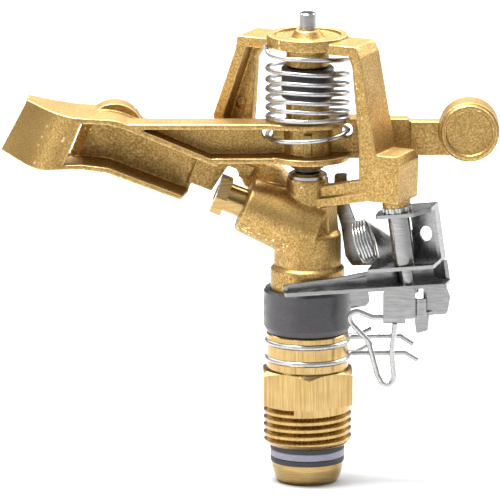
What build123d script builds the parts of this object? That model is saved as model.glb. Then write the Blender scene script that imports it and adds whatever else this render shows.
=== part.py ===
from build123d import *

import math
import os

os.makedirs("parts", exist_ok=True)

# A part-circle brass impact sprinkler. All sizes are in millimetres. The origin is on the
# vertical turning axis, 2.1 mm below the inlet's hexagon. +Z is up, the
# nozzle and the drive arm point to -X, and the arm's counterweight is at +X.

# ---- driving dimensions -------------------------------------------------------------

# inlet nipple, with a 1/2 inch parallel pipe thread
THREAD_RADIUS = 20.955 / 2
THREAD_PITCH = 1.814
THREAD_DEPTH = 1.1
THREAD_BOTTOM = -8.0
HEX_FLATS = 21.2
HEX_BOTTOM = 2.1
HEX_TOP = 10.3
GRIP_RADIUS = 9.75
NIPPLE_TOP = 19.2

# bearing tube and the seals under the nipple
TUBE_RADIUS = 6.4
TUBE_BORE = 4.6
TUBE_TOP = 40.0
TUBE_BOTTOM = -17.3
FLANGE_TOP = -12.4
FLANGE_RADIUS = 8.5
RUNNING_FIT = 0.07
SEAL_WASHERS = [
    ("seal_washer_bottom", 8.8, -12.4, -11.0),
    ("seal_washer_middle", 8.85, -11.0, -9.3),
    ("seal_washer_top", 8.9, -9.3, -8.1),
]

# sand collar round the bearing spring
COLLAR_RADIUS = 10.45
COLLAR_BOTTOM = 19.4
COLLAR_TOP = 29.8
COLLAR_BORE = 9.0
COLLAR_LIP_TOP = 20.2
SPRING_SEAT_Z = 21.0
BEARING_WIRE = 1.2

# trip collars: wire rings that lie in two grooves of the nipple
CLIP_WIRE = 1.25
CLIP_RADIUS = 9.6
TAIL_ANGLE = 38
UPPER_CLIP_Z = 17.0
LOWER_CLIP_Z = 12.9

# body casting
BODY_BOTTOM = 28.4
RING_RADIUS = 8.8
RING_TOP = 35.4
NECK_RADIUS = 8.0
NECK_TOP = 43.8
STREAM_RISE = 22
STREAM_Z = 44.0
BARREL_LENGTH = 16.4
BARREL_ROOT_RADIUS = 8.1
BARREL_TAPER = 4.5
NOZZLE_THREAD_RADIUS = 3.2
BOSS_RADIUS = 5.0
BOSS_TOP = 56.6

# bridge over the arm, turned about the axis so that its right leg is the nearer one
BRIDGE_TURN = 26
BRIDGE_TOP = 90.5
WEB_HALF = 1.25
FLANGE_HALF = 5.4
FLANGE_THICK = 2.5
CAP_RADIUS = 9.6
CAP_BOTTOM = 88.6
CAP_TOP = 91.4
UPPER_BOSS_RADIUS = 5.1
UPPER_BOSS_BOTTOM = 83.8

# fulcrum pin, sleeve and arm spring
PIN_RADIUS = 2.0
PIN_TOP = 96.6
PIN_BOTTOM = 50.0
SLEEVE_RADIUS = 6.3
SLEEVE_BOTTOM = 76.0
SLEEVE_TOP = 83.6
SPRING_WIRE = 1.1
SPRING_RADIUS = 9.5
SPRING_BOTTOM = 71.9
SPRING_TOP = 87.1
SPRING_TURNS = 6.25
SPRING_LOW_COIL_Z = 67.5

# drive arm
ARM_BOTTOM = 61.1
ARM_TOP = 70.7
ARM_PLATE = 1.3
ARM_FRONT = -6.5
HUB_RADIUS = 5.6
HUB_FLANGE_RADIUS = 10.0
HUB_TOP = 75.8
BUSH_RADIUS = 3.1
WEIGHT_X = 38.4
WEIGHT_Z = 68.3
WEIGHT_RADIUS = 7.2
BOSS_X = -45.9
BOSS_Z = 66.6

# trip mechanism on its leaning pin
TRIP_LEAN = 8
TRIP_TURN = 17
TRIP_CENTRE = (22.3, -8.5, 43.3)
TRIP_PIN_RADIUS = 1.6
TRIP_TUBE_RADIUS = 2.6
SHEET = 0.9
FLANGE_Z = 6.9
BACK_Y = 7.1
TONGUE_TURN = 24
LEVER_TOP = -7.1
LEVER_TIP_TOP = -6.3
LEVER_TIP_BOTTOM = -8.5
LEVER_ROOT_BOTTOM = -12.9
FINGER_WIRE = 1.3
FINGER_Y = -9.9
FINGER_PIVOT_Z = 24.6
ROLL_RADIUS = 1.45
TOGGLE_WIRE = 0.65
TOGGLE_RADIUS = 4.8
TOGGLE_PITCH = 0.72
TOGGLE_CENTRE = (13.7, -7, 42.4)
CHEEK_FRONT = -11.7
CHEEK_SHEET = 0.8

# ---- planes ------------------------------------------------------------------------

turn = math.radians(BRIDGE_TURN)
rise = math.radians(STREAM_RISE)

# across the bridge: x runs along the bridge, y is up
bridge_plane = Plane(
    origin=(0, 0, 0),
    x_dir=(math.cos(turn), -math.sin(turn), 0),
    z_dir=(-math.sin(turn), -math.cos(turn), 0),
)

# along the water jet: z follows the jet
jet_direction = (-math.cos(rise), 0, math.sin(rise))
jet_plane = Plane(origin=(0, 0, STREAM_Z), x_dir=(0, 1, 0), z_dir=jet_direction)

# side view of the jet: x follows the jet, y is square to it and upward
jet_side = Plane(origin=(0, 0, STREAM_Z), x_dir=jet_direction, z_dir=(0, 1, 0))

# top view of the jet: x follows the jet, y comes towards the front
jet_top = Plane(
    origin=(0, 0, STREAM_Z),
    x_dir=jet_direction,
    z_dir=(math.sin(rise), 0, math.cos(rise)),
)

# across the trip pin: z follows the pin, x runs along the bracket's back plate
trip_plane = Plane(
    origin=TRIP_CENTRE,
    x_dir=Vector(1, 0, 0).rotate(Axis.Z, -TRIP_TURN).rotate(Axis.Y, -TRIP_LEAN),
    z_dir=Vector(0, 0, 1).rotate(Axis.Y, -TRIP_LEAN),
)
lever_plane = Plane(
    origin=TRIP_CENTRE,
    x_dir=trip_plane.x_dir.rotate(Axis((0, 0, 0), trip_plane.z_dir), TONGUE_TURN),
    z_dir=trip_plane.z_dir,
)


def front_of(plane, distance=0.0):
    """The plane's x-z face, moved along its y; extruding it by a plus amount goes to minus y."""
    return Plane(
        origin=plane.origin + plane.y_dir * distance,
        x_dir=plane.x_dir,
        z_dir=plane.y_dir * -1,
    )


def ring(outer, inner, bottom, top, plane=Plane.XY):
    """A plain ring or tube round the plane's axis."""
    with BuildPart() as tube:
        with BuildSketch(plane.offset(bottom)):
            Circle(outer)
            Circle(inner, mode=Mode.SUBTRACT)
        extrude(amount=top - bottom)
    return tube.part


def wire(path, diameter):
    """A round wire swept along a path."""
    with BuildPart() as bent:
        with BuildSketch(Plane(origin=path @ 0, z_dir=path % 0)):
            Circle(diameter / 2)
        sweep(path=path, is_frenet=True)
    return bent.part


# ---- base: the nipple and its trip collars -------------------------------------------

with BuildPart() as inlet_nipple:
    with BuildSketch(Plane.XY.offset(THREAD_BOTTOM)):
        Circle(THREAD_RADIUS)
    extrude(amount=HEX_BOTTOM - THREAD_BOTTOM)
    with BuildSketch(Plane.XY.offset(HEX_BOTTOM)):
        RegularPolygon(HEX_FLATS / 2, 6, major_radius=False, rotation=32)
    extrude(amount=HEX_TOP - HEX_BOTTOM)
    # turned bevel round the hexagon's top
    hex_corner = HEX_FLATS / math.sqrt(3) + 0.5
    bevel_drop = (hex_corner - HEX_FLATS / 2) * math.tan(math.radians(30))
    with BuildSketch(Plane.XZ):
        with BuildLine():
            Polyline(
                (HEX_FLATS / 2, HEX_TOP),
                (hex_corner, HEX_TOP),
                (hex_corner, HEX_TOP - bevel_drop),
                close=True,
            )
        make_face()
    revolve(axis=Axis.Z, mode=Mode.SUBTRACT)
    with BuildSketch(Plane.XY.offset(HEX_TOP)):
        Circle(GRIP_RADIUS)
    extrude(amount=NIPPLE_TOP - HEX_TOP)
    chamfer(inlet_nipple.faces().sort_by(Axis.Z)[-1].outer_wire().edges(), 0.4)
    # round grooves for the trip collars
    with BuildSketch(Plane.XZ):
        with Locations((CLIP_RADIUS, UPPER_CLIP_Z), (CLIP_RADIUS, LOWER_CLIP_Z)):
            Circle(CLIP_WIRE / 2 + RUNNING_FIT)
    revolve(axis=Axis.Z, mode=Mode.SUBTRACT)
    # the V groove of the thread leaves a narrow round crest
    with BuildLine() as groove_path:
        Helix(THREAD_PITCH, 5.7 * THREAD_PITCH, THREAD_RADIUS, center=(0, 0, THREAD_BOTTOM - 1.2))
    groove_start = groove_path.line @ 0
    with BuildSketch(Plane(origin=groove_start, x_dir=(1, 0, 0), z_dir=groove_path.line % 0)):
        with BuildLine():
            Polyline(
                (-THREAD_DEPTH, 0),
                (0.15, 0.36 * THREAD_PITCH),
                (0.15, -0.36 * THREAD_PITCH),
                close=True,
            )
        make_face()
    sweep(path=groove_path.line, is_frenet=True, mode=Mode.SUBTRACT)
    # lead-in bevel at the thread's lower end
    with BuildSketch(Plane.XZ):
        with BuildLine():
            Polyline(
                (THREAD_RADIUS - THREAD_DEPTH, THREAD_BOTTOM),
                (THREAD_RADIUS + 1, THREAD_BOTTOM),
                (THREAD_RADIUS + 1, THREAD_BOTTOM + 1 + THREAD_DEPTH),
                close=True,
            )
        make_face()
    revolve(axis=Axis.Z, mode=Mode.SUBTRACT)
    with BuildSketch(Plane.XY.offset(THREAD_BOTTOM)):
        Circle(TUBE_RADIUS + RUNNING_FIT)
    extrude(amount=NIPPLE_TOP - THREAD_BOTTOM, mode=Mode.SUBTRACT)
inlet_nipple.part.label = "inlet_nipple"
export_step(inlet_nipple.part, "parts/inlet_nipple.step")


def trip_collar(height, short_tail_y, long_tail_x, drop):
    """A wire ring with a short raised tail and a long tail whose end is bent down."""
    with BuildLine() as path:
        ring_arc = CenterArc((0, 0, height), CLIP_RADIUS, TAIL_ANGLE, 362 - TAIL_ANGLE)
        FilletPolyline(
            ring_arc @ 1,
            ring_arc @ 1 + (ring_arc % 1) * 2.6,
            (long_tail_x - 3, 2.6, height + 0.3),
            (long_tail_x, 2.6, height + 0.3 - drop),
            radius=1.2,
        )
        FilletPolyline(
            ring_arc @ 0,
            ring_arc @ 0 - (ring_arc % 0) * 2.2,
            (11.5, 4.6, height + 0.05),
            (15.2, short_tail_y, height + 1.5),
            radius=1.0,
        )
    return wire(path.wire(), CLIP_WIRE)


with BuildPart() as upper_trip_collar:
    add(trip_collar(UPPER_CLIP_Z, 5.5, 25.2, 2.0))
upper_trip_collar.part.label = "upper_trip_collar"
export_step(upper_trip_collar.part, "parts/upper_trip_collar.step")

with BuildPart() as lower_trip_collar:
    add(trip_collar(LOWER_CLIP_Z, 7.5, 26.3, 1.8))
lower_trip_collar.part.label = "lower_trip_collar"
export_step(lower_trip_collar.part, "parts/lower_trip_collar.step")

# ---- swivel bearing -------------------------------------------------------------------

with BuildPart() as bearing_tube:
    with BuildSketch(Plane.XZ):
        with BuildLine():
            Polyline(
                (TUBE_BORE, TUBE_BOTTOM),
                (FLANGE_RADIUS - 1.6, TUBE_BOTTOM),
                (FLANGE_RADIUS - 0.8, TUBE_BOTTOM + 1.0),
                (FLANGE_RADIUS, FLANGE_TOP - 1.2),
                (FLANGE_RADIUS, FLANGE_TOP),
                (TUBE_RADIUS, FLANGE_TOP),
                (TUBE_RADIUS, TUBE_TOP),
                (TUBE_BORE, TUBE_TOP),
                close=True,
            )
        make_face()
    revolve(axis=Axis.Z)
bearing_tube.part.label = "bearing_tube"
export_step(bearing_tube.part, "parts/bearing_tube.step")

for washer_name, washer_radius, washer_bottom, washer_top in SEAL_WASHERS:
    with BuildPart() as seal_washer:
        add(ring(washer_radius, TUBE_RADIUS, washer_bottom, washer_top))
        fillet(seal_washer.edges().filter_by(GeomType.CIRCLE).group_by(SortBy.RADIUS)[-1], 0.25)
    seal_washer.part.label = washer_name
    export_step(seal_washer.part, "parts/" + washer_name + ".step")

with BuildPart() as sand_collar:
    with BuildSketch(Plane.XZ):
        with BuildLine():
            Polyline(
                (TUBE_RADIUS + 0.6, COLLAR_BOTTOM),
                (COLLAR_RADIUS - 0.75, COLLAR_BOTTOM),
                (COLLAR_RADIUS, COLLAR_BOTTOM + 1.4),
                (COLLAR_RADIUS, COLLAR_TOP - 0.6),
                (COLLAR_RADIUS - 0.4, COLLAR_TOP),
                (COLLAR_BORE, COLLAR_TOP - 0.3),
                (COLLAR_BORE, COLLAR_LIP_TOP),
                (TUBE_RADIUS + 0.6, COLLAR_LIP_TOP),
                close=True,
            )
        make_face()
    revolve(axis=Axis.Z)
sand_collar.part.label = "sand_collar"
export_step(sand_collar.part, "parts/sand_collar.step")

with BuildPart() as bearing_washer:
    add(ring(COLLAR_BORE - 0.3, TUBE_RADIUS, COLLAR_LIP_TOP, SPRING_SEAT_Z))
bearing_washer.part.label = "bearing_washer"
export_step(bearing_washer.part, "parts/bearing_washer.step")

with BuildPart() as bearing_spring:
    with BuildLine(mode=Mode.PRIVATE) as bearing_coil:
        Helix(
            2.0,
            BODY_BOTTOM - SPRING_SEAT_Z - BEARING_WIRE,
            (TUBE_RADIUS + COLLAR_BORE) / 2,
            center=(0, 0, SPRING_SEAT_Z + BEARING_WIRE / 2),
        )
    add(wire(bearing_coil.line, BEARING_WIRE))
bearing_spring.part.label = "bearing_spring"
export_step(bearing_spring.part, "parts/bearing_spring.step")

# ---- body casting ---------------------------------------------------------------------

with BuildPart() as body:
    # ring that dips into the sand collar, and the neck above it
    with BuildSketch(Plane.XY.offset(BODY_BOTTOM)):
        Circle(RING_RADIUS)
    extrude(amount=RING_TOP - BODY_BOTTOM)
    chamfer(body.faces().sort_by(Axis.Z)[-1].edges(), 0.7)
    with BuildSketch(Plane.XY.offset(RING_TOP - 1)):
        Circle(NECK_RADIUS)
    extrude(amount=NECK_TOP - RING_TOP + 1)
    fillet(body.faces().sort_by(Axis.Z)[-1].edges(), 1.2)
    # barrel for the nozzle
    with BuildSketch(jet_plane.offset(-2)):
        Circle(BARREL_ROOT_RADIUS)
    extrude(amount=BARREL_LENGTH + 2, taper=BARREL_TAPER)
    fillet(body.faces().sort_by(Axis.X)[0].outer_wire().edges(), 1.0)
    # shoulder that rises from the neck to the boss under the arm, and the rib behind it
    with BuildSketch(Plane.XY.offset(NECK_TOP - 1)):
        Circle(NECK_RADIUS - 0.6)
    extrude(amount=7, taper=20)
    with BuildSketch(Plane.XY.offset(NECK_TOP)):
        Circle(BOSS_RADIUS)
    extrude(amount=BOSS_TOP - NECK_TOP)
    with BuildSketch(bridge_plane):
        with BuildLine():
            Polyline((0, 42), (7.2, 42), (6.6, 50), (6.6, 52), (0, 54), close=True)
        make_face()
    extrude(amount=2.6, both=True)

    # webs of both legs and the top bar, as one plate with a window
    with BuildSketch(bridge_plane):
        with BuildLine():
            Polyline(
                (-9, 49),
                (-16, 53),
                (-20.8, 61),
                (-22.4, 70.7),
                (-16.6, 87),
                (-16, BRIDGE_TOP),
                (15, BRIDGE_TOP),
                (16.3, 88),
                (20.8, 64),
                (20.8, 54),
                (3, 50),
                close=True,
            )
        make_face()
        with BuildLine():
            FilletPolyline(
                (-4, 53.5),
                (-8, 57.5),
                (-13, 60.5),
                (-14.4, 66),
                (-13.2, 84.5),
                (-11, 87.9),
                (11, 87.9),
                (12.2, 84.5),
                (14, 66),
                (14, 57),
                (3, 54.5),
                radius=1.0,
                close=True,
            )
        make_face(mode=Mode.SUBTRACT)
    extrude(amount=WEB_HALF, both=True)
    # the left leg's foot is set back, clear of the nozzle
    with BuildSketch(bridge_plane):
        with BuildLine():
            Polyline((-9, 46), (-17, 53), (-21.4, 61), (-13.4, 61), (-8, 57), (-3, 52), close=True)
        make_face()
    extrude(amount=-4.6)
    # outer flanges, square to the web
    with BuildSketch(bridge_plane):
        with BuildLine():
            Polyline(
                (-21.3, 62.5),
                (-22.4, 70.7),
                (-16.6, 87),
                (-16, BRIDGE_TOP),
                (15, BRIDGE_TOP),
                (16.3, 88),
                (20.8, 64),
                (20.8 - FLANGE_THICK, 64),
                (16.3 - FLANGE_THICK, BRIDGE_TOP - FLANGE_THICK),
                (-16.2 + FLANGE_THICK, BRIDGE_TOP - FLANGE_THICK),
                (-22.2 + FLANGE_THICK, 70.7),
                (-21.3 + FLANGE_THICK, 62.5),
                close=True,
            )
        make_face()
    extrude(amount=FLANGE_HALF, both=True)
    # cap disc on the top bar, with a hollow and a hub round the pin, and the boss below it
    with BuildSketch(Plane.XY.offset(CAP_BOTTOM)):
        Circle(CAP_RADIUS)
    extrude(amount=CAP_TOP - CAP_BOTTOM)
    with BuildSketch(Plane.XY.offset(CAP_TOP - 0.9)):
        Circle(CAP_RADIUS - 1.6)
    extrude(amount=0.9, mode=Mode.SUBTRACT)
    with BuildSketch(Plane.XY.offset(CAP_TOP - 1.2)):
        Circle(4.2)
    extrude(amount=2.3, taper=30)
    with BuildSketch(Plane.XY.offset(UPPER_BOSS_BOTTOM)):
        Circle(UPPER_BOSS_RADIUS)
    extrude(amount=CAP_BOTTOM - UPPER_BOSS_BOTTOM)
    # lower bar from the boss to the right leg, with a wider bottom rib
    with BuildSketch(bridge_plane):
        with BuildLine():
            Polyline((2, 49.6), (19, 53.2), (19, 55.4), (2, 51.8), close=True)
        make_face()
    extrude(amount=3.2, both=True)
    with BuildSketch(bridge_plane):
        with BuildLine():
            Polyline((2, 51), (19, 54.6), (19, 58.4), (2, 54.6), close=True)
        make_face()
    extrude(amount=2.0, both=True)
    # block at the foot of the right leg, which holds the trip pin
    with BuildSketch(bridge_plane):
        with BuildLine():
            Polyline((18.3, 53.4), (26.4, 53.4), (26.8, 63), (25.6, 64.8), (18.3, 64.8), close=True)
        make_face()
    extrude(amount=FLANGE_HALF, both=True)
    with BuildSketch(trip_plane.offset(8.2)):
        Circle(3.4)
    extrude(amount=3)
    # moulded ejector marks on the web and the bars
    for mark_s, mark_z in [(-17, 73.5), (11.5, 89.2)]:
        with BuildSketch(bridge_plane.offset(WEB_HALF)):
            with Locations((mark_s, mark_z)):
                Circle(1.2)
        extrude(amount=0.3)
    # bores: bearing tube, waterway, nozzle thread, fulcrum pin and trip pin
    with BuildSketch(Plane.XY.offset(BODY_BOTTOM)):
        Circle(TUBE_RADIUS)
    extrude(amount=TUBE_TOP - BODY_BOTTOM, mode=Mode.SUBTRACT)
    with BuildSketch(Plane.XY.offset(TUBE_TOP)):
        Circle(TUBE_BORE)
    extrude(amount=STREAM_Z - TUBE_TOP, mode=Mode.SUBTRACT)
    with BuildSketch(jet_plane):
        Circle(NOZZLE_THREAD_RADIUS)
    extrude(amount=BARREL_LENGTH, mode=Mode.SUBTRACT)
    with BuildSketch(Plane.XY.offset(PIN_BOTTOM)):
        Circle(PIN_RADIUS)
    extrude(amount=PIN_TOP - PIN_BOTTOM, mode=Mode.SUBTRACT)
    with BuildSketch(trip_plane.offset(8)):
        Circle(TRIP_PIN_RADIUS)
    extrude(amount=8, mode=Mode.SUBTRACT)
body.part.label = "body"
export_step(body.part, "parts/body.step")

# ---- nozzle ---------------------------------------------------------------------------

with BuildPart() as nozzle:
    with BuildSketch(jet_plane.offset(8)):
        Circle(NOZZLE_THREAD_RADIUS)
    extrude(amount=BARREL_LENGTH - 8)
    with BuildSketch(jet_plane.offset(BARREL_LENGTH)):
        Circle(3.55)
    extrude(amount=4.4)
    with BuildSketch(jet_plane.offset(BARREL_LENGTH + 4.4)):
        RegularPolygon(4.4, 6, major_radius=False)
    extrude(amount=2.7)
    with BuildSketch(jet_plane.offset(8)):
        Circle(2.0)
    extrude(amount=16, mode=Mode.SUBTRACT)
nozzle.part.label = "nozzle"
export_step(nozzle.part, "parts/nozzle.step")

# ---- fulcrum: pin, sleeve, washer and spring -------------------------------------------

with BuildPart() as fulcrum_pin:
    with BuildSketch(Plane.XY.offset(PIN_BOTTOM)):
        Circle(PIN_RADIUS)
    extrude(amount=PIN_TOP - PIN_BOTTOM)
    chamfer(fulcrum_pin.faces().sort_by(Axis.Z)[-1].edges(), 0.3)
fulcrum_pin.part.label = "fulcrum_pin"
export_step(fulcrum_pin.part, "parts/fulcrum_pin.step")

with BuildPart() as spring_sleeve:
    add(ring(SLEEVE_RADIUS, PIN_RADIUS, SLEEVE_BOTTOM, SLEEVE_TOP))
    chamfer(spring_sleeve.edges().filter_by(GeomType.CIRCLE).group_by(SortBy.RADIUS)[-1], 0.4)
spring_sleeve.part.label = "spring_sleeve"
export_step(spring_sleeve.part, "parts/spring_sleeve.step")

with BuildPart() as lower_arm_washer:
    with BuildSketch(Plane.XZ):
        with BuildLine():
            washer_side = Line((PIN_RADIUS, BOSS_TOP), (4.7, BOSS_TOP))
            washer_rim = Line(washer_side @ 1, (4.7, BOSS_TOP + 0.7))
            washer_dome = RadiusArc(washer_rim @ 1, (3.0, BOSS_TOP + 1.6), -2.4)
            Polyline(washer_dome @ 1, (PIN_RADIUS, BOSS_TOP + 1.6), (PIN_RADIUS, BOSS_TOP))
        make_face()
    revolve(axis=Axis.Z)
lower_arm_washer.part.label = "lower_arm_washer"
export_step(lower_arm_washer.part, "parts/lower_arm_washer.step")

# the spring's working coils, between the arm and the bridge
with BuildPart() as arm_spring:
    with BuildLine(mode=Mode.PRIVATE) as arm_coil:
        Helix(
            (SPRING_TOP - SPRING_BOTTOM) / SPRING_TURNS,
            SPRING_TOP - SPRING_BOTTOM,
            SPRING_RADIUS,
            center=(0, 0, SPRING_BOTTOM),
        )
    add(wire(arm_coil.line, SPRING_WIRE))
arm_spring.part.label = "arm_spring"
export_step(arm_spring.part, "parts/arm_spring.step")

# ---- drive arm ------------------------------------------------------------------------

# The spoon and its roof are drawn square to the jet. Distances run along the jet from the
# turning axis, and heights are square to it.
ENTRY_START = 24.4
ENTRY_END = 17.0
DUCT_START = 29.5
DUCT_END = 58.5
DUCT_WALL_Y = 4.0
SPOON_START = 60.0
SPOON_END = 73.3
DUCT_TIP = 61.4

# a curved plate that crosses the jet, trimmed along its lower, upper and outer edges
with BuildPart() as spoon:
    with BuildSketch(jet_top.offset(-14)):
        with BuildLine():
            spoon_outer = Spline((SPOON_START, 6.5), (64.5, 5.4), (69.6, 0.8), (75.4, -5.6))
            spoon_inner = Spline((74.6, -6.6), (68.7, -0.6), (64, 3.9), (SPOON_START, 5.1))
            Line(spoon_outer @ 1, spoon_inner @ 0)
            Line(spoon_inner @ 1, spoon_outer @ 0)
        make_face()
    extrude(amount=22)
    with BuildSketch(jet_side.offset(-9)):
        with BuildLine():
            Spline((56, -5.7), (SPOON_START, -7.3), (64.2, -9.4), (69.3, -10.3), (77, -10.7))
            Polyline((77, -10.7), (80, -20), (56, -20), (56, -5.7))
        make_face()
        with BuildLine():
            Spline((54, 8.6), (58.5, 6.6), (66, 4.6), (77, 2.9))
            Polyline((77, 2.9), (80, 14), (54, 14), (54, 8.6))
        make_face()
        with BuildLine():
            Polyline((73.0, 5), (74.5, -11.5), (80, -11.5), (80, 5), close=True)
        make_face()
    extrude(amount=18, mode=Mode.SUBTRACT)

# the roof over the spoon, which follows the spoon's bend at the front and is straight behind
with BuildPart() as spoon_roof:
    with BuildSketch(jet_top.offset(-2)):
        with BuildLine():
            Line((50, -10.8), (50, 6.5))
            Line((50, 6.5), (58, 6.5))
            roof_front = Spline((58, 6.5), (64.5, 5.4), (69.6, 0.8), (SPOON_END, -3.9))
            Line(roof_front @ 1, (SPOON_END - 0.2, -10.6))
            Polyline((SPOON_END - 0.2, -10.6), (59, -11), (50, -10.8))
        make_face()
    extrude(amount=14)
    with BuildSketch(jet_side.offset(-8)):
        with BuildLine():
            roof_top = Spline((50, 8.7), (54, 8.2), (58.5, 6.6), (66, 4.6), (77, 2.9))
            Line(roof_top @ 1, (77, 1.6))
            roof_under = Spline((77, 1.6), (66, 3.3), (58.5, 5.2), (54, 6.8), (50, 7.3))
            Line(roof_under @ 1, roof_top @ 0)
        make_face()
    extrude(amount=22, mode=Mode.INTERSECT)

with BuildPart() as arm:
    # hub: barrel, round bottom flange with a cone below, neck above
    with BuildSketch(Plane.XY.offset(ARM_BOTTOM)):
        Circle(HUB_FLANGE_RADIUS)
    extrude(amount=ARM_PLATE + 0.2)
    with BuildSketch(Plane.XY.offset(ARM_BOTTOM)):
        Circle(HUB_RADIUS)
    extrude(amount=ARM_TOP - ARM_BOTTOM)
    with BuildSketch(Plane.XY.offset(ARM_BOTTOM)):
        Circle(6.3)
    extrude(amount=-2.2, taper=50)
    with BuildSketch(Plane.XY.offset(ARM_TOP)):
        Circle(5.2)
    extrude(amount=HUB_TOP - ARM_TOP)
    # upright rib on the hub's front
    with BuildSketch(Plane.XZ.offset(HUB_RADIUS - 0.4)):
        with Locations((0, 65.0)):
            Rectangle(1.6, 6)
    extrude(amount=1.2)

    # web of the left side: a triangle between the level top and the rising duct
    with BuildSketch(Plane.XZ.offset(0.9)):
        with BuildLine():
            Polyline((0, ARM_BOTTOM), (-22, ARM_BOTTOM), (-41, ARM_TOP), (0, ARM_TOP), close=True)
        make_face()
    extrude(amount=-1.8)
    # level top and bottom flanges, which spread out round the hub
    with BuildSketch(Plane.XY.offset(ARM_TOP - ARM_PLATE)):
        with BuildLine():
            top_front = Line((-45, ARM_FRONT), (-12, ARM_FRONT))
            top_curve = Spline(
                top_front @ 1,
                (-6, -7.6),
                (0, -8.2),
                (7.6, -5.4),
                tangents=[(1, 0), (0.8, 1)],
            )
            Polyline(top_curve @ 1, (9, 0.9), (-45, 0.9), (-45, ARM_FRONT))
        make_face()
    extrude(amount=ARM_PLATE)
    with BuildSketch(Plane.XY.offset(ARM_BOTTOM)):
        with BuildLine():
            Polyline((-22.5, ARM_FRONT), (-2, ARM_FRONT), (-2, 0.9), (-22.5, 0.9), close=True)
        make_face()
    extrude(amount=ARM_PLATE)

    # right side: plate to the counterweight, with top and bottom flanges near the hub
    with BuildSketch(Plane.XZ.offset(-0.1)):
        with BuildLine():
            Polyline((0, ARM_BOTTOM), (32, 62.4), (34, 70.2), (0, ARM_TOP), close=True)
        make_face()
    extrude(amount=-2.6)
    for flange_bottom in (ARM_BOTTOM, ARM_TOP - ARM_PLATE):
        with BuildSketch(Plane.XY.offset(flange_bottom)):
            with BuildLine():
                Polyline((0, 0), (24, 0), (24, 3.8), (12, 6), (0, 6), close=True)
            make_face()
        extrude(amount=ARM_PLATE)
    # counterweight with its raised rim, and the pad that it grows from
    with BuildSketch(Plane.XZ.offset(4.2)):
        with Locations((WEIGHT_X, WEIGHT_Z)):
            Circle(WEIGHT_RADIUS)
    extrude(amount=-7.6)
    with BuildSketch(Plane.XZ.offset(4.2)):
        with Locations((WEIGHT_X, WEIGHT_Z)):
            Circle(WEIGHT_RADIUS - 0.6)
    extrude(amount=0.8)
    with BuildSketch(Plane.XZ.offset(4.5)):
        with Locations((WEIGHT_X, WEIGHT_Z)):
            Circle(WEIGHT_RADIUS - 1.6)
    extrude(amount=1, mode=Mode.SUBTRACT)
    with BuildSketch(Plane.XZ.offset(1.1)):
        with BuildLine():
            Polyline((24.5, 62), (34, 62), (36, 70.2), (24.5, 70.2), close=True)
        make_face()
    extrude(amount=-4)

    # duct round the jet: a channel that opens to the front
    with BuildSketch(jet_side.offset(ARM_FRONT)):
        with BuildLine():
            Polyline(
                (DUCT_START, -3.6),
                (50, -4.1),
                (56, -5.7),
                (DUCT_TIP, -8.0),
                (DUCT_TIP, 5.8),
                (DUCT_END, 6.6),
                (54, 8.2),
                (50, 8.7),
                (DUCT_START, 8.4),
                close=True,
            )
        make_face()
    extrude(amount=DUCT_WALL_Y + 1.4 - ARM_FRONT)
    with BuildSketch(jet_side.offset(ARM_FRONT)):
        with BuildLine():
            Polyline(
                (DUCT_START - 8, -2.3),
                (50, -2.8),
                (56, -4.4),
                (DUCT_TIP + 1, -7.1),
                (DUCT_TIP + 1, 4.2),
                (DUCT_END, 5.2),
                (54, 6.8),
                (50, 7.3),
                (DUCT_START - 8, 7.0),
                close=True,
            )
        make_face()
    extrude(amount=DUCT_WALL_Y - ARM_FRONT, mode=Mode.SUBTRACT)
    # the wall stops short of the spoon, with a slanted end, so that the jet's edge can leave
    with BuildSketch(jet_top.offset(-5.2)):
        with BuildLine():
            Polyline(
                (56.6, -DUCT_WALL_Y + 0.1),
                (59.2, -DUCT_WALL_Y - 1.5),
                (DUCT_TIP + 1, -DUCT_WALL_Y - 1.5),
                (DUCT_TIP + 1, -DUCT_WALL_Y + 0.1),
                close=True,
            )
        make_face()
    extrude(amount=9.4, mode=Mode.SUBTRACT)
    # slanted cut at the floor's inner end
    with BuildSketch(jet_top.offset(-5)):
        with BuildLine():
            Polyline(
                (DUCT_START - 1, 8),
                (DUCT_START + 1.8, 8),
                (DUCT_START, -3),
                (DUCT_START - 1, -3),
                close=True,
            )
        make_face()
    extrude(amount=4, mode=Mode.SUBTRACT)
    # entry plate beside the nozzle, whose arm reaches over the nozzle's neck and hexagon
    with BuildSketch(jet_side.offset(DUCT_WALL_Y - 0.8)):
        with BuildLine():
            Polyline(
                (ENTRY_START, -0.8),
                (DUCT_START + 1, -0.8),
                (DUCT_START + 1, 8.2),
                (ENTRY_END, 8.2),
                (ENTRY_END, 4.9),
                (19.8, 4.9),
                (20.2, 6.4),
                (23.0, 6.4),
                close=True,
            )
        make_face()
    extrude(amount=ARM_PLATE)
    # level bottom flange's run down the slanted roof
    with BuildSketch(jet_side.offset(ARM_FRONT)):
        with BuildLine():
            Polyline((26, 7.1), (31, 7.1), (31, 8.4), (26.8, 8.4), close=True)
        make_face()
    extrude(amount=DUCT_WALL_Y + 1.4 - ARM_FRONT)
    # round boss behind the duct, with a grooved face
    with BuildSketch(Plane.XZ.offset(-DUCT_WALL_Y - 0.4)):
        with Locations((BOSS_X, BOSS_Z)):
            Circle(6.9)
    extrude(amount=-6)
    # the duct's roof widens to the rear, over the boss
    with BuildSketch(jet_top.offset(7.2)):
        with BuildLine():
            Polyline((37, -5), (42, -10.8), (50.5, -10.8), (50.5, -5), close=True)
        make_face()
    extrude(amount=ARM_PLATE)
    add(spoon.part)
    add(spoon_roof.part)

    # slots that let the spring's low coil through the web
    for slot_x in (-SPRING_RADIUS, SPRING_RADIUS):
        with BuildSketch(Plane.XZ.offset(7)):
            with Locations((slot_x, SPRING_LOW_COIL_Z + 0.4)):
                SlotCenterToCenter(0.9, 2.4, rotation=90)
        extrude(amount=-14, mode=Mode.SUBTRACT)
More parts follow.
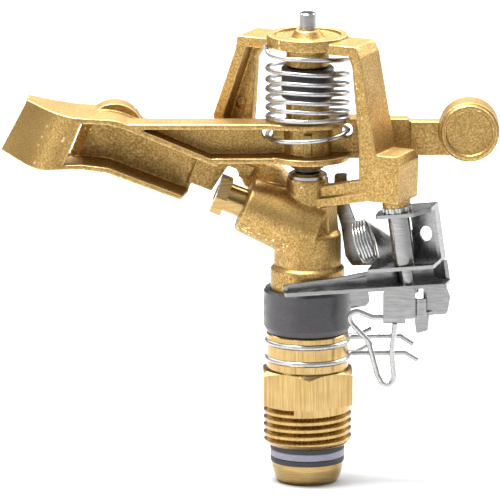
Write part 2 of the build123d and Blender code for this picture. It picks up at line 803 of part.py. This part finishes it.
    # bore for the bush
    with BuildSketch(Plane.XY.offset(BOSS_TOP)):
        Circle(BUSH_RADIUS)
    extrude(amount=HUB_TOP - BOSS_TOP, mode=Mode.SUBTRACT)
arm.part.label = "arm"
export_step(arm.part, "parts/arm.step")

with BuildPart() as arm_bush:
    add(ring(BUSH_RADIUS, PIN_RADIUS + RUNNING_FIT, ARM_BOTTOM - 2.7, HUB_TOP))
arm_bush.part.label = "arm_bush"
export_step(arm_bush.part, "parts/arm_bush.step")

# ---- trip mechanism --------------------------------------------------------------------

with BuildPart() as trip_pin:
    with BuildSketch(trip_plane.offset(-13.5)):
        Circle(TRIP_PIN_RADIUS)
    extrude(amount=29.5)
trip_pin.part.label = "trip_pin"
export_step(trip_pin.part, "parts/trip_pin.step")

with BuildPart() as trip_tube:
    tube_half = FLANGE_Z - SHEET - 0.1
    add(ring(TRIP_TUBE_RADIUS, TRIP_PIN_RADIUS, -tube_half, tube_half, trip_plane))
trip_tube.part.label = "trip_tube"
export_step(trip_tube.part, "parts/trip_tube.step")

with BuildPart() as star_washer:
    with BuildSketch(trip_plane.offset(FLANGE_Z + 0.1)):
        Circle(3.2)
        with PolarLocations(3.2, 12):
            Circle(0.45)
        Circle(TRIP_PIN_RADIUS, mode=Mode.SUBTRACT)
    extrude(amount=8.2 - FLANGE_Z - 0.1)
star_washer.part.label = "star_washer"
export_step(star_washer.part, "parts/star_washer.step")

with BuildPart() as trip_pin_clip:
    add(ring(2.4, TRIP_PIN_RADIUS, -13.1, -12.3, trip_plane))
trip_pin_clip.part.label = "trip_pin_clip"
export_step(trip_pin_clip.part, "parts/trip_pin_clip.step")

with BuildPart() as reversing_bracket:
    # back plate with the tall horn at its left
    with BuildSketch(front_of(trip_plane, BACK_Y)):
        with BuildLine():
            FilletPolyline(
                (-15.4, -FLANGE_Z),
                (-16.6, -4.5),
                (-16.6, 3),
                (-17.6, 9),
                (-16.4, 15.6),
                (-13.4, 15.6),
                (-14.0, 8),
                (-13.0, 3.6),
                (-10.2, 3.4),
                (-4.6, -0.8),
                (1.0, 0.6),
                (1.0, FLANGE_Z),
                (8.1, FLANGE_Z),
                (8.1, -FLANGE_Z),
                radius=0.6,
                close=True,
            )
        make_face()
        with Locations((4.2, -0.5)):
            Ellipse(1.45, 1.9, rotation=-12, mode=Mode.SUBTRACT)
    extrude(amount=SHEET)
    # top and bottom flanges, pierced for the pin
    with BuildSketch(trip_plane.offset(FLANGE_Z - SHEET)):
        with BuildLine():
            FilletPolyline(
                (0.5, BACK_Y),
                (-5.4, 2.0),
                (-4.6, -3.6),
                (5.0, -3.6),
                (8.1, 1),
                (8.1, BACK_Y),
                radius=1.4,
                close=True,
            )
        make_face()
        Circle(TRIP_PIN_RADIUS + RUNNING_FIT, mode=Mode.SUBTRACT)
    extrude(amount=SHEET)
    with BuildSketch(trip_plane.offset(-FLANGE_Z)):
        with BuildLine():
            Polyline(
                (-15.4, BACK_Y),
                (-15.0, 5.6),
                (-9, 4.6),
                (-8.4, -3.6),
                (8.1, -3.6),
                (8.1, BACK_Y),
                close=True,
            )
        make_face()
        Circle(TRIP_PIN_RADIUS + RUNNING_FIT, mode=Mode.SUBTRACT)
    extrude(amount=SHEET)
    # return flange at the right edge
    with BuildSketch(trip_plane.offset(-FLANGE_Z)):
        with BuildLine():
            Polyline((8.1 - SHEET, 3.4), (8.1, 3.4), (8.1, BACK_Y), (8.1 - SHEET, BACK_Y), close=True)
        make_face()
    extrude(amount=2 * FLANGE_Z)
reversing_bracket.part.label = "reversing_bracket"
export_step(reversing_bracket.part, "parts/reversing_bracket.step")

# space above the lever's lower flange and in front of its web
with BuildPart() as lever_hollow:
    with BuildSketch(lever_plane.offset(LEVER_TOP + 1)):
        with BuildLine():
            Polyline(
                (-31, -6),
                (12, -6),
                (12, 1.5),
                (9.4, 1.5),
                (7.0, 4.6),
                (-8.0, 2.5),
                (-28.7, 0.1),
                (-28.7, -1.0),
                (-31, -1.0),
                close=True,
            )
        make_face()
    extrude(amount=-8)
    with BuildSketch(front_of(lever_plane, 8)):
        with BuildLine():
            Polyline(
                (-32, LEVER_TIP_BOTTOM + SHEET),
                (12, LEVER_ROOT_BOTTOM + SHEET),
                (12, -18),
                (-32, -18),
                close=True,
            )
        make_face()
    extrude(amount=16, mode=Mode.SUBTRACT)

with BuildPart() as trip_lever:
    # long tongue: a web with a flange to the front along its lower edge
    with BuildSketch(lever_plane.offset(LEVER_TIP_TOP)):
        with BuildLine():
            FilletPolyline(
                (-29.6, -2.7),
                (8.6, -3.4),
                (10.4, 1.5),
                (7.5, 5.6),
                (-8.0, 3.4),
                (-29.6, 0.9),
                radius=0.5,
                close=True,
            )
        make_face()
    extrude(amount=-7.2)
    with BuildSketch(front_of(lever_plane, 8)):
        with BuildLine():
            Polyline(
                (-32, LEVER_TIP_TOP),
                (-18, LEVER_TOP),
                (12, LEVER_TOP),
                (12, -5),
                (-32, -5),
                close=True,
            )
        make_face()
        with BuildLine():
            Polyline(
                (-32, LEVER_TIP_BOTTOM),
                (12, LEVER_ROOT_BOTTOM),
                (12, -18),
                (-32, -18),
                close=True,
            )
        make_face()
    extrude(amount=16, mode=Mode.SUBTRACT)
    add(lever_hollow.part, mode=Mode.SUBTRACT)
    # tab that hangs down behind the channel
    with BuildSketch(front_of(lever_plane, 2.5)):
        with BuildLine():
            Polyline((-14, -8), (-9.4, -8), (-9.4, -14), (-10.4, -15), (-14, -15), close=True)
        make_face()
    extrude(amount=CHEEK_SHEET)
    # front cheek, whose lower edge is rolled round the finger's wire
    with BuildSketch(Plane.XZ.offset(-CHEEK_FRONT)):
        with BuildLine():
            FilletPolyline(
                (17.9, FINGER_PIVOT_Z),
                (25.6, FINGER_PIVOT_Z),
                (25.6, 32.0),
                (17.9, 31.4),
                radius=0.8,
                close=True,
            )
        make_face()
    extrude(amount=-CHEEK_SHEET)
    with BuildSketch(Plane.YZ.offset(17.9)):
        with Locations((FINGER_Y, FINGER_PIVOT_Z)):
            Circle(ROLL_RADIUS)
    extrude(amount=5.4)
    # rear cheek at the right, and the tab below that joins both
    with BuildSketch(Plane.XZ.offset(7.5)):
        with BuildLine():
            FilletPolyline(
                (27.5, 24.7),
                (33.2, 24.7),
                (34.0, 29),
                (32.4, 33.2),
                (27.5, 33.0),
                radius=1.2,
                close=True,
            )
        make_face()
    extrude(amount=-CHEEK_SHEET)
    with BuildSketch(Plane.XY.offset(FINGER_PIVOT_Z + 0.1)):
        with BuildLine():
            Polyline(
                (23.9, CHEEK_FRONT),
                (25.0, CHEEK_FRONT),
                (30.0, -7.5),
                (30.0, -6.7),
                (27.6, -6.7),
                (23.9, -9.5),
                close=True,
            )
        make_face()
    extrude(amount=SHEET)
    # rolled strip that joins the two cheeks, and a tab that hangs below it
    with BuildSketch(Plane.XY.offset(FINGER_PIVOT_Z + 0.3)):
        with Locations((26.6, -9.6)):
            Circle(1.75)
            Circle(1.75 - CHEEK_SHEET, mode=Mode.SUBTRACT)
            with Locations((0, 1.2)):
                Rectangle(1.9, 2.4, mode=Mode.SUBTRACT)
    extrude(amount=4.4)
    with BuildSketch(Plane.XZ.offset(8.3)):
        with BuildLine():
            FilletPolyline(
                (25.2, 25.6),
                (29.0, 25.6),
                (28.6, 21.2),
                (25.8, 20.4),
                radius=0.6,
                close=True,
            )
        make_face()
    extrude(amount=CHEEK_SHEET)
    # holes for the pin and for the finger's wire
    with BuildSketch(lever_plane.offset(-15)):
        Circle(TRIP_PIN_RADIUS + RUNNING_FIT)
    extrude(amount=10, mode=Mode.SUBTRACT)
    with BuildSketch(Plane.YZ.offset(17)):
        with Locations((FINGER_Y, FINGER_PIVOT_Z)):
            Circle(FINGER_WIRE / 2 + RUNNING_FIT)
    extrude(amount=7, mode=Mode.SUBTRACT)
trip_lever.part.label = "trip_lever"
export_step(trip_lever.part, "parts/trip_lever.step")

# a bent wire loop, pointed at the bottom, that meets the collars' tails
with BuildPart() as trip_finger:
    with BuildLine(Plane.XZ.offset(-FINGER_Y)) as finger_path:
        FilletPolyline(
            (23.2, FINGER_PIVOT_Z),
            (15.6, FINGER_PIVOT_Z),
            (9.6, 26.9),
            (10.2, 23.4),
            (14.4, 18.9),
            (16.6, 10.6),
            (18.8, 6.4),
            (20.6, 9.8),
            (20.0, 16.0),
            (20.8, FINGER_PIVOT_Z - ROLL_RADIUS - 0.1),
            radius=1.6,
        )
    add(wire(finger_path.wire(), FINGER_WIRE))
trip_finger.part.label = "trip_finger"
export_step(trip_finger.part, "parts/trip_finger.step")

# the over-centre spring's coils lie in front of the back plate
with BuildPart() as toggle_spring:
    toggle_axis = Vector(0.94, -0.06, 0.33)
    coil_start = Vector(TOGGLE_CENTRE) - toggle_axis.normalized() * (2.5 * TOGGLE_PITCH)
    with BuildLine(mode=Mode.PRIVATE) as toggle_coil:
        Helix(
            TOGGLE_PITCH,
            5 * TOGGLE_PITCH,
            TOGGLE_RADIUS,
            center=coil_start,
            direction=toggle_axis,
        )
    add(wire(toggle_coil.line, TOGGLE_WIRE))
toggle_spring.part.label = "toggle_spring"
export_step(toggle_spring.part, "parts/toggle_spring.step")
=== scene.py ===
import math

import bpy
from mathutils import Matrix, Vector


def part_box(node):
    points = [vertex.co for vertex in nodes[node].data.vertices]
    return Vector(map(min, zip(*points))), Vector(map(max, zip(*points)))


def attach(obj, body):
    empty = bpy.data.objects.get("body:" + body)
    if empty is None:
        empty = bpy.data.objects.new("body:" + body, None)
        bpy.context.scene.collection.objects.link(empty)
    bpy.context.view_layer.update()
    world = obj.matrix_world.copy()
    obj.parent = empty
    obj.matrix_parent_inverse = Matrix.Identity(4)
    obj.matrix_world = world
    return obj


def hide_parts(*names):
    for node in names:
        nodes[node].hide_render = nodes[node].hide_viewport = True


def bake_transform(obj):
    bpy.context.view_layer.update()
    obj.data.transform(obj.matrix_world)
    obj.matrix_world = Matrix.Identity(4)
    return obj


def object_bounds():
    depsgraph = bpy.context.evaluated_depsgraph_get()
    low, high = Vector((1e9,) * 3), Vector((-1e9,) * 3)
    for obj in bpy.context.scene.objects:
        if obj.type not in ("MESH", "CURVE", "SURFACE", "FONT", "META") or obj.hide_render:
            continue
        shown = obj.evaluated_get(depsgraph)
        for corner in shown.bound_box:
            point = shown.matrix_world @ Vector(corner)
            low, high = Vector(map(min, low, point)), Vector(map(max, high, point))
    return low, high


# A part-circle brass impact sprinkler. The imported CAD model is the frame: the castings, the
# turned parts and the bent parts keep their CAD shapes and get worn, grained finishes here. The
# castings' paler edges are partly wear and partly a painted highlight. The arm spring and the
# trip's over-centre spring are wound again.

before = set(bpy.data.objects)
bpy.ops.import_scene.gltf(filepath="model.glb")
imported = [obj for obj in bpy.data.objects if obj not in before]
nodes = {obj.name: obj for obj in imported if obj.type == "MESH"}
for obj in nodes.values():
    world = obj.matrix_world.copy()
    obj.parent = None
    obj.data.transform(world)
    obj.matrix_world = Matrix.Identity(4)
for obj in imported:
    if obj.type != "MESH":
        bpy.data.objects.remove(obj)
cad_low, cad_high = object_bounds()

MM = 0.001


def mm(x, y, z):
    """A point given in millimetres."""
    return Vector((x, y, z)) * MM


# ---- building materials ---------------------------------------------------------------


def new_material(name, metallic, roughness):
    """A material and its Principled shader."""
    material = bpy.data.materials.new(name)
    material.use_nodes = True
    shader = material.node_tree.nodes["Principled BSDF"]
    shader.inputs["Metallic"].default_value = metallic
    shader.inputs["Roughness"].default_value = roughness
    return material, shader


def noise(material, size_mm, stretch=(1, 1, 1), detail=2.0):
    """Noise with features about size_mm across, drawn out along an axis by its stretch."""
    tree = material.node_tree
    place = tree.nodes.new("ShaderNodeTexCoord")
    mapping = tree.nodes.new("ShaderNodeMapping")
    mapping.inputs["Scale"].default_value = [1 / share for share in stretch]
    texture = tree.nodes.new("ShaderNodeTexNoise")
    texture.inputs["Scale"].default_value = 1 / (size_mm * MM)
    texture.inputs["Detail"].default_value = detail
    tree.links.new(place.outputs["Object"], mapping.inputs["Vector"])
    tree.links.new(mapping.outputs["Vector"], texture.inputs["Vector"])
    return texture.outputs["Fac"]


def ramp(material, factor, stops):
    """Colours along a factor: stops are (position, (r, g, b))."""
    tree = material.node_tree
    colours = tree.nodes.new("ShaderNodeValToRGB")
    elements = colours.color_ramp.elements
    for index, (position, colour) in enumerate(stops):
        element = elements[index] if index < 2 else elements.new(position)
        element.position = position
        element.color = (*colour, 1)
    tree.links.new(factor, colours.inputs["Fac"])
    return colours.outputs["Color"]


def mix(material, factor, first, second):
    """Two colours mixed by a factor, which is a number or a socket."""
    tree = material.node_tree
    mixer = tree.nodes.new("ShaderNodeMix")
    mixer.data_type = "RGBA"
    if isinstance(factor, float):
        mixer.inputs["Factor"].default_value = factor
    else:
        tree.links.new(factor, mixer.inputs["Factor"])
    tree.links.new(first, mixer.inputs["A"])
    tree.links.new(second, mixer.inputs["B"])
    return mixer.outputs["Result"]


def spread(material, factor, low, high, start=0.3, end=0.7):
    """A factor between start and end, spread from low to high."""
    tree = material.node_tree
    mapping = tree.nodes.new("ShaderNodeMapRange")
    mapping.inputs["From Min"].default_value = start
    mapping.inputs["From Max"].default_value = end
    mapping.inputs["To Min"].default_value = low
    mapping.inputs["To Max"].default_value = high
    tree.links.new(factor, mapping.inputs["Value"])
    return mapping.outputs["Result"]


def bump(material, height, depth_mm, strength, under=None):
    """Relief from a height, laid over another relief if one is given."""
    tree = material.node_tree
    relief = tree.nodes.new("ShaderNodeBump")
    relief.inputs["Strength"].default_value = strength
    relief.inputs["Distance"].default_value = depth_mm * MM
    tree.links.new(height, relief.inputs["Height"])
    if under is not None:
        tree.links.new(under, relief.inputs["Normal"])
    return relief.outputs["Normal"]


def worn_and_highlit_edge_factor(material, start, end):
    """How far a spot stands out from the surface round it: 1 on edges, which are worn and carry a
    painted highlight.
    """
    geometry = material.node_tree.nodes.new("ShaderNodeNewGeometry")
    return spread(material, geometry.outputs["Pointiness"], 0.0, 1.0, start, end)


def finish(material, shader, colour=None, roughness=None, relief=None):
    """Joins the worked-out colour, roughness and relief to the shader."""
    links = material.node_tree.links
    if colour is not None:
        links.new(colour, shader.inputs["Base Color"])
    if roughness is not None:
        links.new(roughness, shader.inputs["Roughness"])
    if relief is not None:
        links.new(relief, shader.inputs["Normal"])
    return material


# ---- finishes ---------------------------------------------------------------------------


def cast_brass():
    """Sand-cast brass, tumbled: matt, grainy, darker in its pits; edges worn and with a painted
    highlight.
    """
    material, shader = new_material("cast_brass_finish", 1.0, 0.5)
    grain = noise(material, 0.42, detail=3.0)
    fine_grain = noise(material, 0.20, detail=2.0)
    tint = noise(material, 7.0, detail=2.0)
    grain_colour = ramp(
        material,
        grain,
        [(0.33, (0.18, 0.102, 0.032)), (0.5, (0.40, 0.255, 0.085)), (0.68, (0.67, 0.48, 0.21))],
    )
    tint_colour = ramp(material, tint, [(0.3, (0.34, 0.21, 0.066)), (0.7, (0.49, 0.32, 0.110))])
    colour = mix(material, 0.45, grain_colour, tint_colour)
    # the edges get a paler colour: partly worn brass, partly a painted highlight standing in for light
    # on rounded edges
    worn_and_highlit_edge_colour = ramp(material, grain, [(0.3, (0.80, 0.54, 0.22)), (0.7, (0.98, 0.76, 0.42))])
    colour = mix(material, worn_and_highlit_edge_factor(material, 0.51, 0.60), colour, worn_and_highlit_edge_colour)
    roughness = spread(material, grain, 0.58, 0.36)
    relief = bump(material, grain, 0.10, 0.55)
    relief = bump(material, fine_grain, 0.04, 0.45, relief)
    return finish(material, shader, colour, roughness, relief)


def turned_brass(name, stretch, streak_mm, depth_mm):
    """Machined brass with fine tool or drawing marks that run along the stretched axis."""
    material, shader = new_material(name, 1.0, 0.2)
    marks = noise(material, streak_mm, stretch, detail=3.0)
    tint = noise(material, 4.0, detail=1.0)
    mark_colour = ramp(
        material,
        marks,
        [(0.3, (0.28, 0.17, 0.055)), (0.5, (0.42, 0.285, 0.11)), (0.7, (0.55, 0.41, 0.20))],
    )
    tint_colour = ramp(material, tint, [(0.3, (0.34, 0.22, 0.080)), (0.7, (0.45, 0.32, 0.142))])
    colour = mix(material, 0.45, mark_colour, tint_colour)
    roughness = spread(material, marks, 0.30, 0.16)
    relief = bump(material, marks, depth_mm, 0.6)
    return finish(material, shader, colour, roughness, relief)


def steel(name, stretch, streak_mm, rough_low, rough_high, depth_mm, shade=1.0):
    """Stainless steel with faint rolling or drawing marks. A shade above 1 is paler."""
    material, shader = new_material(name, 1.0, rough_low)
    marks = noise(material, streak_mm, stretch, detail=3.0)
    tint = noise(material, 3.5, detail=1.0)
    dark, light = 0.19 * shade, 0.36 * shade
    mark_colour = ramp(material, marks, [(0.3, (dark, dark, dark)), (0.7, (light, light, light))])
    dull, clear = 0.22 * shade, 0.35 * shade
    tint_colour = ramp(material, tint, [(0.3, (dull, dull, dull * 0.96)), (0.7, (clear, clear, clear))])
    colour = mix(material, 0.4, mark_colour, tint_colour)
    roughness = spread(material, tint, rough_low, rough_high)
    relief = bump(material, marks, depth_mm, 0.5)
    return finish(material, shader, colour, roughness, relief)


def moulded(name, dark, light, roughness_low, roughness_high):
    """Moulded plastic or rubber with a faint skin texture and paler, wiped patches."""
    material, shader = new_material(name, 0.0, roughness_low)
    skin = noise(material, 0.5, detail=3.0)
    wipe = noise(material, 4.5, (1, 1, 0.4), detail=2.0)
    colour = mix(
        material,
        0.5,
        ramp(material, skin, [(0.3, dark), (0.7, light)]),
        ramp(material, wipe, [(0.3, dark), (0.7, light)]),
    )
    roughness = spread(material, wipe, roughness_low, roughness_high)
    relief = bump(material, skin, 0.02, 0.4)
    return finish(material, shader, colour, roughness, relief)


# dark and light colours of the moulded parts
BLACK_PLASTIC = ((0.028, 0.026, 0.029), (0.055, 0.051, 0.056))
WASHER_PLASTIC = ((0.23, 0.23, 0.30), (0.34, 0.34, 0.42))
SEAL_RUBBER = ((0.022, 0.021, 0.024), (0.045, 0.043, 0.047))

MATERIALS = {
    "cast_brass": cast_brass(),
    "hexagon_brass": turned_brass("drawn_brass_finish", (1, 1, 30), 0.35, 0.015),
    "turned_brass": turned_brass("turned_brass_finish", (30, 30, 1), 0.22, 0.008),
    "sheet": steel("stainless_sheet_finish", (12, 12, 1), 0.3, 0.22, 0.36, 0.01),
    "bar": steel("stainless_bar_finish", (20, 20, 1), 0.2, 0.16, 0.26, 0.008),
    "wire": steel("bright_wire_finish", (1, 1, 1), 0.5, 0.26, 0.40, 0.008, shade=1.6),
    "black": moulded("black_plastic_finish", *BLACK_PLASTIC, 0.30, 0.46),
    "washer": moulded("washer_plastic_finish", *WASHER_PLASTIC, 0.38, 0.52),
    "rubber": moulded("seal_rubber_finish", *SEAL_RUBBER, 0.50, 0.68),
}

NODE_FINISHES = {
    "body": "cast_brass",
    "arm": "cast_brass",
    "inlet_nipple": "hexagon_brass",
    "nozzle": "turned_brass",
    "bearing_tube": "turned_brass",
    "fulcrum_pin": "bar",
    "trip_pin": "bar",
    "trip_tube": "bar",
    "star_washer": "wire",
    "trip_pin_clip": "bar",
    "upper_trip_collar": "wire",
    "lower_trip_collar": "wire",
    "trip_finger": "wire",
    "bearing_spring": "wire",
    "bearing_washer": "bar",
    "reversing_bracket": "sheet",
    "trip_lever": "sheet",
    "sand_collar": "black",
    "spring_sleeve": "black",
    "arm_bush": "black",
    "lower_arm_washer": "bar",
    "seal_washer_bottom": "rubber",
    "seal_washer_middle": "washer",
    "seal_washer_top": "rubber",
}


def paint(piece, material):
    """Gives the whole piece one finish."""
    piece.data.materials.clear()
    piece.data.materials.append(material)


for node_name, finish_name in NODE_FINISHES.items():
    paint(nodes[node_name], MATERIALS[finish_name])

# ---- castings: rounded edges and corners ------------------------------------------------

# the grid that the skin is built on, in millimetres
CASTING_VOXEL = 0.2

for node_name in ("body", "arm"):
    casting = nodes[node_name]
    remesh = casting.modifiers.new("skin", "REMESH")
    remesh.mode = "VOXEL"
    remesh.voxel_size = CASTING_VOXEL * MM
    remesh.use_smooth_shade = True
    soften = casting.modifiers.new("soften", "SMOOTH")
    soften.factor = 0.5
    soften.iterations = 8

# ---- springs ------------------------------------------------------------------------------


def bent_wire(name, points, diameter_mm):
    """A round wire through points, as a mesh. Four points to a turn make a round coil."""
    curve = bpy.data.curves.new(name, "CURVE")
    curve.dimensions = "3D"
    curve.resolution_u = 12
    curve.bevel_depth = diameter_mm / 2 * MM
    curve.bevel_resolution = 4
    curve.use_fill_caps = True
    spline = curve.splines.new("BEZIER")
    spline.bezier_points.add(len(points) - 1)
    for bezier_point, position in zip(spline.bezier_points, points):
        bezier_point.co = position
        bezier_point.handle_left_type = "AUTO"
        bezier_point.handle_right_type = "AUTO"
    path = bpy.data.objects.new(name + "_path", curve)
    bpy.context.collection.objects.link(path)
    bpy.context.view_layer.update()
    swept = path.evaluated_get(bpy.context.evaluated_depsgraph_get())
    mesh = bpy.data.meshes.new_from_object(swept)
    bpy.data.objects.remove(path)
    mesh.name = name
    piece = bpy.data.objects.new(name, mesh)
    bpy.context.collection.objects.link(piece)
    for polygon in mesh.polygons:
        polygon.use_smooth = True
    return piece


SPRING_RADIUS = 9.6
SPRING_WIRE = 1.1
# heights where the coils cross the front, from the top down
COIL_FRONTS = [87.0, 83.3, 80.9, 78.7, 76.4, 74.2, 72.0]
# the loaded coils lean back by this much
COIL_LEAN = 2.2
# the upper end's hook, on the left under the bridge's cap
SPRING_HOOK = [(-10.0, -3.2, 89.4), (-9.7, -3.4, 88.0), (-7.2, -6.7, 87.1)]
# the last coil drops through the arm's web, crosses in front of the hub and ends behind the web:
# turns from the last crossing of the front, and heights
LOW_COIL = [
    (0, 72.0),
    (0.25, 71.3),
    (0.5, 69.6),
    (0.75, 66.9),
    (1, 67.2),
    (1.25, 67.9),
    (1.31, 68.0),
]


def coil_point(turns, height):
    """A point on the spring, turns counted from the front towards the right."""
    angle = math.radians(-90 + 360 * turns)
    return mm(SPRING_RADIUS * math.cos(angle), SPRING_RADIUS * math.sin(angle), height)


spring_points = [mm(*point) for point in SPRING_HOOK]
for coil in range(len(COIL_FRONTS) - 1):
    for quarter in range(4):
        share = quarter / 4
        level = COIL_FRONTS[coil] + (COIL_FRONTS[coil + 1] - COIL_FRONTS[coil]) * share
        lean = COIL_LEAN * (1 - math.cos(2 * math.pi * share)) / 2
        spring_points.append(coil_point(coil + share, level - lean))
wound = len(COIL_FRONTS) - 1
for share, level in LOW_COIL:
    spring_points.append(coil_point(wound + share, level))

arm_spring = bent_wire("arm_spring_wound", spring_points, SPRING_WIRE)
paint(arm_spring, MATERIALS["wire"])
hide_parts("arm_spring")
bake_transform(arm_spring)

# the coils of the trip's over-centre spring lie in front of the bracket's back plate
TOGGLE_COILS = 5
TOGGLE_RADIUS = 4.8
TOGGLE_PITCH = 0.72
TOGGLE_WIRE = 0.65
TOGGLE_AXIS = (0.94, -0.06, 0.33)
toggle_low, toggle_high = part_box("toggle_spring")
toggle_axis = Vector(TOGGLE_AXIS).normalized()
toggle_side = toggle_axis.cross(Vector((0, 0, 1))).normalized()
toggle_up = toggle_side.cross(toggle_axis)
toggle_middle = (toggle_low + toggle_high) / 2
toggle_start = toggle_middle - toggle_axis * TOGGLE_COILS * TOGGLE_PITCH / 2 * MM
toggle_points = []
for quarter in range(4 * TOGGLE_COILS + 1):
    angle = math.pi / 2 * quarter - math.pi / 2
    centre = toggle_start + toggle_axis * TOGGLE_PITCH * quarter / 4 * MM
    around = toggle_side * math.cos(angle) + toggle_up * math.sin(angle)
    toggle_points.append(centre + around * TOGGLE_RADIUS * MM)

toggle_spring = bent_wire("toggle_spring_wound", toggle_points, TOGGLE_WIRE)
paint(toggle_spring, MATERIALS["wire"])
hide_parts("toggle_spring")
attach(toggle_spring, "bracket")

# ---- floor, light and camera ----------------------------------------------------------------

# in metres
FLOOR_HALF = 3.0
FLOOR_GAP = 0.00005
FLOOR_SHADE = 0.48

floor_mesh = bpy.data.meshes.new("floor")
floor_z = cad_low.z - FLOOR_GAP
corners = [(-1, -1), (1, -1), (1, 1), (-1, 1)]
floor_points = [(x * FLOOR_HALF, y * FLOOR_HALF, floor_z) for x, y in corners]
floor_mesh.from_pydata(floor_points, [], [(0, 1, 2, 3)])
floor = bpy.data.objects.new("floor", floor_mesh)
bpy.context.collection.objects.link(floor)
floor_material, floor_shader = new_material("floor_finish", 0.0, 0.9)
floor_shader.inputs["Base Color"].default_value = (FLOOR_SHADE, FLOOR_SHADE, FLOOR_SHADE, 1)
paint(floor, floor_material)

world = bpy.data.worlds.new("studio")
bpy.context.scene.world = world
world.use_nodes = True
world_nodes = world.node_tree.nodes
world_links = world.node_tree.links
background = world_nodes["Background"]
background.inputs["Strength"].default_value = 1.06
# the studio's ceiling is bright and its walls are darker, so the metal shows its form
direction = world_nodes.new("ShaderNodeTexCoord")
upward = world_nodes.new("ShaderNodeSeparateXYZ")
walls = world_nodes.new("ShaderNodeValToRGB")
walls.color_ramp.elements[0].position = 0.05
walls.color_ramp.elements[0].color = (0.06, 0.06, 0.062, 1)
walls.color_ramp.elements[1].position = 0.75
walls.color_ramp.elements[1].color = (0.80, 0.80, 0.80, 1)
world_links.new(direction.outputs["Generated"], upward.inputs["Vector"])
world_links.new(upward.outputs["Z"], walls.inputs["Fac"])
world_links.new(walls.outputs["Color"], background.inputs["Color"])


def softbox(name, place, target, width, height, power):
    """A soft rectangular light that faces a point."""
    light = bpy.data.lights.new(name, "AREA")
    light.shape = "RECTANGLE"
    light.size = width
    light.size_y = height
    light.energy = power
    lamp = bpy.data.objects.new(name, light)
    lamp.location = place
    lamp.rotation_euler = (Vector(target) - Vector(place)).to_track_quat("-Z", "Y").to_euler()
    bpy.context.collection.objects.link(lamp)


# a broad light overhead, a faint one from the left, one behind on the right, and a wide one that
# clears the floor of shadows; places and sizes in metres, powers in watts
middle = (cad_low + cad_high) / 2
softbox("key", middle + Vector((-0.20, -0.05, 0.90)), middle, 0.40, 0.40, 28)
softbox("side", middle + Vector((-0.80, -0.50, 0.12)), middle, 0.35, 0.4, 1.5)
softbox("rim", middle + Vector((0.65, 0.35, 0.35)), middle, 0.4, 0.5, 3)
softbox("floor_wash", Vector((0, 1.0, 1.0)), Vector((0, 1.1, 0)), 2.4, 1.2, 45)

# the camera is far away with a long lens, so the view is almost parallel; distances in metres
CAMERA_ELEVATION = math.radians(12.5)
CAMERA_DISTANCE = 4.0
FRAME_WIDTH = 0.11905
SENSOR = 36
AIM = (-13.69, 0, 38.8)

aim = mm(*AIM)
toward_camera = Vector((0, -math.cos(CAMERA_ELEVATION), math.sin(CAMERA_ELEVATION)))
camera_data = bpy.data.cameras.new("camera")
camera_data.sensor_width = SENSOR
camera_data.lens = SENSOR * CAMERA_DISTANCE / FRAME_WIDTH
camera = bpy.data.objects.new("camera", camera_data)
camera.location = aim + toward_camera * CAMERA_DISTANCE
camera.rotation_euler = (-toward_camera).to_track_quat("-Z", "Y").to_euler()
bpy.context.collection.objects.link(camera)
bpy.context.scene.camera = camera
bpy.context.scene.view_settings.view_transform = "Standard"
